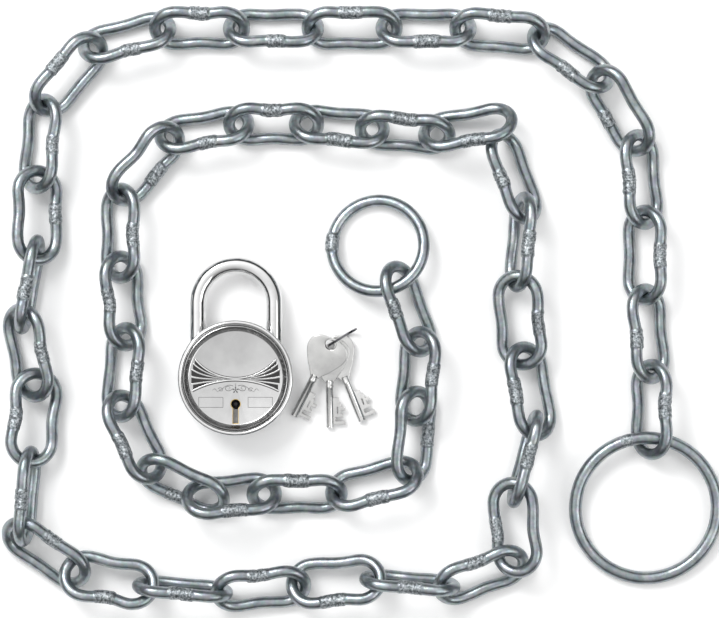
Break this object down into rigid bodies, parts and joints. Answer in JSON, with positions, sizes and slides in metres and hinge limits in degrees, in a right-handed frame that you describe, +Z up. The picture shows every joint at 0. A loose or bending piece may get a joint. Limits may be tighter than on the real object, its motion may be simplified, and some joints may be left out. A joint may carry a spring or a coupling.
{
  "type": "chain lock",
  "caption": "Welded steel chain with an end ring at each end, a round lever padlock and its keys, laid out in a flat spiral.",
  "frame": {"origin": "middle of the bottom of the whole object's box, on the ground it lies on", "axes": "+X right and +Y up the layout seen from above, +Z up from the ground; the padlock's shackle points to +Y"},
  "size_m": [0.3588, 0.301, 0.0269],
  "materials": {
    "chain_steel": "galvanised, softly bright, rough at the welds",
    "padlock_chrome": "polished",
    "inner_steel": "plain pressed sheet",
    "brass": "plain",
    "key_nickel": "satin nickel plate"
  },
  "bodies": {
    "link_24": {"link_24": "chain_steel"},
    "padlock": {"padlock_case": "padlock_chrome", "padlock_bezel": "padlock_chrome", "front_cover": "padlock_chrome", "keyhole_plate": "brass", "key_pin": "inner_steel", "lever_post": "inner_steel", "lever_spring": "inner_steel", "shackle_spring": "inner_steel", "bolt_guide": "inner_steel"},
    "shackle": {"shackle": "padlock_chrome"},
    "locking_bolt": {"locking_bolt": "inner_steel"},
    "lever_1": {"lever_1": "inner_steel"},
    "lever_2": {"lever_2": "inner_steel"},
    "lever_3": {"lever_3": "inner_steel"},
    "key_ring": {"key_ring": "key_nickel"},
    "key_1": {"key_1": "key_nickel"},
    "key_2": {"key_2": "key_nickel"},
    "key_3": {"key_3": "key_nickel"},
    "large_ring": {"large_ring": "chain_steel"},
    "link_01": {"link_01": "chain_steel"},
    "link_02_03": {"link_02_03": "chain_steel"},
    "link_04": {"link_04": "chain_steel"},
    "link_05": {"link_05": "chain_steel"},
    "link_06_07": {"link_06_07": "chain_steel"},
    "link_08": {"link_08": "chain_steel"},
    "link_09_10": {"link_09_10": "chain_steel"},
    "link_11": {"link_11": "chain_steel"},
    "link_12": {"link_12": "chain_steel"},
    "link_13_14": {"link_13_14": "chain_steel"},
    "link_15": {"link_15": "chain_steel"},
    "link_16": {"link_16": "chain_steel"},
    "link_17": {"link_17": "chain_steel"},
    "link_18_19": {"link_18_19": "chain_steel"},
    "link_20": {"link_20": "chain_steel"},
    "link_21": {"link_21": "chain_steel"},
    "link_22_23": {"link_22_23": "chain_steel"},
    "link_25": {"link_25": "chain_steel"},
    "link_26": {"link_26": "chain_steel"},
    "link_27": {"link_27": "chain_steel"},
    "link_28": {"link_28": "chain_steel"},
    "link_29": {"link_29": "chain_steel"},
    "link_30_31": {"link_30_31": "chain_steel"},
    "link_32": {"link_32": "chain_steel"},
    "link_33": {"link_33": "chain_steel"},
    "link_34": {"link_34": "chain_steel"},
    "link_35": {"link_35": "chain_steel"},
    "link_36": {"link_36": "chain_steel"},
    "link_37": {"link_37": "chain_steel"},
    "link_38_39": {"link_38_39": "chain_steel"},
    "link_40": {"link_40": "chain_steel"},
    "link_41": {"link_41": "chain_steel"},
    "link_42": {"link_42": "chain_steel"},
    "link_43": {"link_43": "chain_steel"},
    "link_44": {"link_44": "chain_steel"},
    "link_45_46": {"link_45_46": "chain_steel"},
    "link_47": {"link_47": "chain_steel"},
    "link_48": {"link_48": "chain_steel"},
    "link_49": {"link_49": "chain_steel"},
    "small_ring": {"small_ring": "chain_steel"}
  },
  "joints": [
    {"name": "shackle_slide", "type": "slide", "parent": "padlock", "child": "shackle", "axis": [0, 1, 0], "range_m": [0, 0.01]},
    {"name": "bolt_slide", "type": "slide", "parent": "padlock", "child": "locking_bolt", "axis": [1, 0, 0], "range_m": [0, 0.003]},
    {"name": "lever_1_lift", "type": "hinge", "parent": "padlock", "child": "lever_1", "pos_m": [-0.0742, -0.03156, 0.013], "axis": [0, 0, 1], "range_deg": [0, 7]},
    {"name": "lever_2_lift", "type": "hinge", "parent": "padlock", "child": "lever_2", "pos_m": [-0.0742, -0.03156, 0.0142], "axis": [0, 0, 1], "range_deg": [0, 7]},
    {"name": "lever_3_lift", "type": "hinge", "parent": "padlock", "child": "lever_3", "pos_m": [-0.0742, -0.03156, 0.0154], "axis": [0, 0, 1], "range_deg": [0, 7]},
    {"name": "key_1_swing", "type": "hinge", "parent": "key_ring", "child": "key_1", "pos_m": [-0.01582, -0.01685, 0.004], "axis": [0, 0, 1], "range_deg": [-3, 12]},
    {"name": "key_2_swing", "type": "hinge", "parent": "key_ring", "child": "key_2", "pos_m": [-0.017, -0.01756, 0.0083], "axis": [0, 0, 1], "range_deg": [-3, 2]},
    {"name": "key_3_swing", "type": "hinge", "parent": "key_ring", "child": "key_3", "pos_m": [-0.01599, -0.01695, 0.0126], "axis": [0, 0, 1], "range_deg": [-5, 3]},
    {"name": "padlock_lift_off", "type": "slide", "parent": "link_24", "child": "padlock", "axis": [0, 0, 1], "range_m": [0, 0.06]},
    {"name": "keys_lift_off", "type": "slide", "parent": "link_24", "child": "key_ring", "axis": [0, 0, 1], "range_m": [0, 0.06]},
    {"name": "link_25_hinge", "type": "hinge", "parent": "link_24", "child": "link_25", "pos_m": [0.00105, -0.13339, 0.01334], "axis": [-0.0001, -1, 0], "range_deg": [-1.25, 6.25]},
    {"name": "link_26_hinge", "type": "hinge", "parent": "link_25", "child": "link_26", "pos_m": [0.03782, -0.13914, 0.0129], "axis": [-0.1303, 0.9915, 0], "range_deg": [-27.5, 27.5]},
    {"name": "link_27_hinge", "type": "hinge", "parent": "link_26", "child": "link_27", "pos_m": [0.07733, -0.12992, 0.01584], "axis": [0.8437, -0.5368, 0], "range_deg": [-15, 2.5]},
    {"name": "link_28_hinge", "type": "hinge", "parent": "link_27", "child": "link_28", "pos_m": [0.07467, -0.09536, 0.01346], "axis": [0.9962, -0.0872, 0], "range_deg": [-3.75, 16.25]},
    {"name": "link_29_hinge", "type": "hinge", "parent": "link_28", "child": "link_29", "pos_m": [0.08702, -0.06213, 0.01317], "axis": [0.999, -0.0439, 0], "range_deg": [-27.5, 27.5]},
    {"name": "link_30_31_hinge", "type": "hinge", "parent": "link_29", "child": "link_30_31", "pos_m": [0.07992, -0.02721, 0.00932], "axis": [-0.9914, -0.1305, 0], "range_deg": [-27.5, 22.5]},
    {"name": "link_32_hinge", "type": "hinge", "parent": "link_30_31", "child": "link_32", "pos_m": [0.08253, 0.0454, 0.01174], "axis": [0.9914, 0.1305, 0], "range_deg": [-27.5, 27.5]},
    {"name": "link_33_hinge", "type": "hinge", "parent": "link_32", "child": "link_33", "pos_m": [0.07367, 0.09427, 0.01802], "axis": [-0.5036, -0.8639, 0], "range_deg": [-27.5, 27.5]},
    {"name": "link_34_hinge", "type": "hinge", "parent": "link_33", "child": "link_34", "pos_m": [0.04306, 0.08636, 0.01104], "axis": [-0.043, 0.9991, 0], "range_deg": [-27.5, 27.5]},
    {"name": "link_35_hinge", "type": "hinge", "parent": "link_34", "child": "link_35", "pos_m": [0.01048, 0.08911, 0.01113], "axis": [-0.0872, -0.9962, 0], "range_deg": [-27.5, 27.5]},
    {"name": "link_36_hinge", "type": "hinge", "parent": "link_35", "child": "link_36", "pos_m": [-0.02208, 0.09234, 0.01099], "axis": [0.0436, 0.999, 0], "range_deg": [-27.5, 27.5]},
    {"name": "link_37_hinge", "type": "hinge", "parent": "link_36", "child": "link_37", "pos_m": [-0.05685, 0.09316, 0.01043], "axis": [0.0872, -0.9962, 0], "range_deg": [-27.5, 27.5]},
    {"name": "link_38_39_hinge", "type": "hinge", "parent": "link_37", "child": "link_38_39", "pos_m": [-0.09355, 0.08968, 0.01337], "axis": [-0.4999, 0.8661, 0], "range_deg": [-27.5, 27.5]},
    {"name": "link_40_hinge", "type": "hinge", "parent": "link_38_39", "child": "link_40", "pos_m": [-0.121, 0.02672, 0.01096], "axis": [0.999, 0.0436, 0], "range_deg": [-27.5, 27.5]},
    {"name": "link_41_hinge", "type": "hinge", "parent": "link_40", "child": "link_41", "pos_m": [-0.11708, -0.00885, 0.01133], "axis": [-1, 0, 0], "range_deg": [-27.5, 27.5]},
    {"name": "link_42_hinge", "type": "hinge", "parent": "link_41", "child": "link_42", "pos_m": [-0.12266, -0.04288, 0.01322], "axis": [0.9848, 0.1737, 0], "range_deg": [-27.5, 27.5]},
    {"name": "link_43_hinge", "type": "hinge", "parent": "link_42", "child": "link_43", "pos_m": [-0.10973, -0.07732, 0.01043], "axis": [-0.7071, -0.7071, 0], "range_deg": [-27.5, 27.5]},
    {"name": "link_44_hinge", "type": "hinge", "parent": "link_43", "child": "link_44", "pos_m": [-0.08719, -0.09422, 0.01621], "axis": [0.1748, 0.9846, 0], "range_deg": [-10, 10]},
    {"name": "link_45_46_hinge", "type": "hinge", "parent": "link_44", "child": "link_45_46", "pos_m": [-0.05489, -0.09146, 0.01189], "axis": [0.0434, -0.9991, 0], "range_deg": [-27.5, 27.5]},
    {"name": "link_47_hinge", "type": "hinge", "parent": "link_45_46", "child": "link_47", "pos_m": [0.02327, -0.08475, 0.01043], "axis": [0.7665, -0.6422, 0], "range_deg": [-23.75, 13.75]},
    {"name": "link_48_hinge", "type": "hinge", "parent": "link_47", "child": "link_48", "pos_m": [0.02549, -0.05512, 0.01043], "axis": [-0.9962, 0.0872, 0], "range_deg": [-22.5, 22.5]},
    {"name": "link_49_hinge", "type": "hinge", "parent": "link_48", "child": "link_49", "pos_m": [0.0301, -0.02041, 0.01104], "axis": [0.9914, 0.1307, 0], "range_deg": [-27.5, 27.5]},
    {"name": "small_ring_hinge", "type": "hinge", "parent": "link_49", "child": "small_ring", "pos_m": [0.02037, 0.01356, 0.01312], "axis": [-0.8878, -0.4603, 0], "range_deg": [-8.75, 21.25]},
    {"name": "link_22_23_hinge", "type": "hinge", "parent": "link_24", "child": "link_22_23", "pos_m": [-0.02856, -0.13652, 0.00975], "axis": [-0.0872, 0.9962, 0], "range_deg": [-5, 7.5]},
    {"name": "link_21_hinge", "type": "hinge", "parent": "link_22_23", "child": "link_21", "pos_m": [-0.10402, -0.13789, 0.01321], "axis": [-0.1305, -0.9914, 0], "range_deg": [-27.5, 27.5]},
    {"name": "link_20_hinge", "type": "hinge", "parent": "link_21", "child": "link_20", "pos_m": [-0.13917, -0.13328, 0.00975], "axis": [0.3826, 0.9239, 0], "range_deg": [-7.5, 20]},
    {"name": "link_18_19_hinge", "type": "hinge", "parent": "link_20", "child": "link_18_19", "pos_m": [-0.16859, -0.11454, 0.01334], "axis": [0.9065, 0.4223, 0], "range_deg": [0, 12.5]},
    {"name": "link_17_hinge", "type": "hinge", "parent": "link_18_19", "child": "link_17", "pos_m": [-0.16233, -0.04316, 0.00975], "axis": [0.999, 0.044, 0], "range_deg": [-17.5, 5]},
    {"name": "link_16_hinge", "type": "hinge", "parent": "link_17", "child": "link_16", "pos_m": [-0.16916, -0.00923, 0.01346], "axis": [-1, 0.0003, 0], "range_deg": [-21.25, 8.75]},
    {"name": "link_15_hinge", "type": "hinge", "parent": "link_16", "child": "link_15", "pos_m": [-0.16173, 0.0248, 0.01358], "axis": [0.9962, -0.0872, 0], "range_deg": [-27.5, 27.5]},
    {"name": "link_13_14_hinge", "type": "hinge", "parent": "link_15", "child": "link_13_14", "pos_m": [-0.16221, 0.06043, 0.01043], "axis": [-0.999, 0.0437, 0], "range_deg": [-26.25, 23.75]},
    {"name": "link_12_hinge", "type": "hinge", "parent": "link_13_14", "child": "link_12", "pos_m": [-0.13869, 0.12942, 0.01043], "axis": [0.5373, -0.8434, 0], "range_deg": [-27.5, 27.5]},
    {"name": "link_11_hinge", "type": "hinge", "parent": "link_12", "child": "link_11", "pos_m": [-0.10337, 0.14002, 0.01153], "axis": [-0.1305, 0.9914, 0], "range_deg": [-27.5, 27.5]},
    {"name": "link_09_10_hinge", "type": "hinge", "parent": "link_11", "child": "link_09_10", "pos_m": [-0.06669, 0.14011, 0.01053], "axis": [0, -1, 0], "range_deg": [-26.25, 27.5]},
    {"name": "link_08_hinge", "type": "hinge", "parent": "link_09_10", "child": "link_08", "pos_m": [0.00911, 0.1401, 0.01043], "axis": [0, 1, 0], "range_deg": [-26.25, 26.25]},
    {"name": "link_06_07_hinge", "type": "hinge", "parent": "link_08", "child": "link_06_07", "pos_m": [0.04582, 0.14034, 0.01066], "axis": [-0.0436, -0.999, 0], "range_deg": [-26.25, 27.5]},
    {"name": "link_05_hinge", "type": "hinge", "parent": "link_06_07", "child": "link_05", "pos_m": [0.11652, 0.11828, 0.01208], "axis": [0.7373, 0.6756, 0], "range_deg": [-27.5, 26.25]},
    {"name": "link_04_hinge", "type": "hinge", "parent": "link_05", "child": "link_04", "pos_m": [0.13647, 0.08701, 0.01043], "axis": [-0.9537, -0.3007, 0], "range_deg": [-27.5, 26.25]},
    {"name": "link_02_03_hinge", "type": "hinge", "parent": "link_04", "child": "link_02_03", "pos_m": [0.14008, 0.04946, 0.01074], "axis": [0.999, 0.0436, 0], "range_deg": [-15, 15]},
    {"name": "link_01_hinge", "type": "hinge", "parent": "link_02_03", "child": "link_01", "pos_m": [0.14344, -0.02719, 0.01104], "axis": [0.999, 0.0436, 0], "range_deg": [-15, 13.75]},
    {"name": "large_ring_hinge", "type": "hinge", "parent": "link_01", "child": "large_ring", "pos_m": [0.14414, -0.06369, 0.01046], "axis": [-0.9991, 0.0435, 0], "range_deg": [-27.5, 27.5]}
  ]
}
